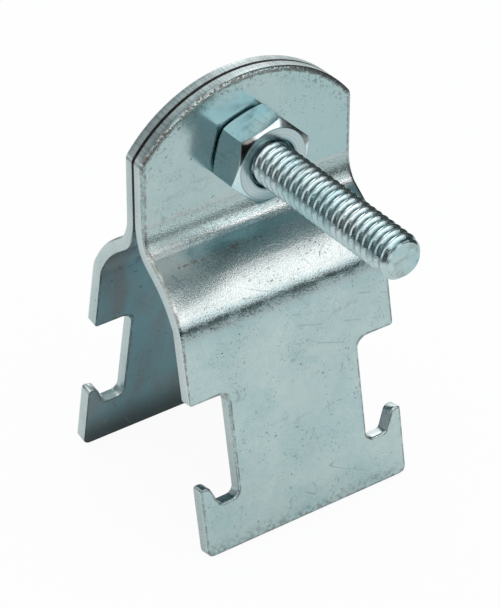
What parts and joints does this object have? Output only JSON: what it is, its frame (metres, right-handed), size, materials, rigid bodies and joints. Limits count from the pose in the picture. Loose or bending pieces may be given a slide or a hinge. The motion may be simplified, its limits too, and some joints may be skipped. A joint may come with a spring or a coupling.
{
  "type": "strut pipe clamp",
  "caption": "Two-piece stamped steel clamp that hooks into a strut channel's slot and draws together over a conduit with a hex head screw and nut.",
  "frame": {"origin": "centre of the strut slot in the plane of the strut's face, where the shoulders sit, midway between the two halves and under the screw", "axes": "+Z away from the strut, towards the screw; X across the strut's slot, along the conduit; the screw's free end points along -Y"},
  "size_m": [0.0338, 0.0518, 0.0633],
  "materials": {
    "zinc_plated_sheet": "bright zinc plating with a pale blue tint",
    "zinc_plated_screw": "bright zinc plating",
    "zinc_plated_nut": "bright zinc plating with a blue tint"
  },
  "bodies": {
    "rear_half": {"rear_half": "zinc_plated_sheet"},
    "clamp_screw": {"clamp_screw": "zinc_plated_screw"},
    "front_half": {"front_half": "zinc_plated_sheet"},
    "hex_nut": {"hex_nut": "zinc_plated_nut"}
  },
  "joints": [
    {"name": "screw_turn", "type": "hinge", "parent": "rear_half", "child": "clamp_screw", "pos_m": [0, 0, 0.02915], "axis": [0, -1, 0], "continuous": true},
    {"name": "front_slide", "type": "slide", "parent": "clamp_screw", "child": "front_half", "axis": [0, -1, 0], "range_m": [0, 0.0254]},
    {"name": "nut_turn", "type": "hinge", "parent": "front_half", "child": "hex_nut", "pos_m": [0, 0, 0.02915], "axis": [0, -1, 0], "range_deg": [0, 7201]}
  ],
  "couplings": [
    {"joint": "nut_turn", "follows": "front_slide", "rad_per_m": 4947.4}
  ]
}
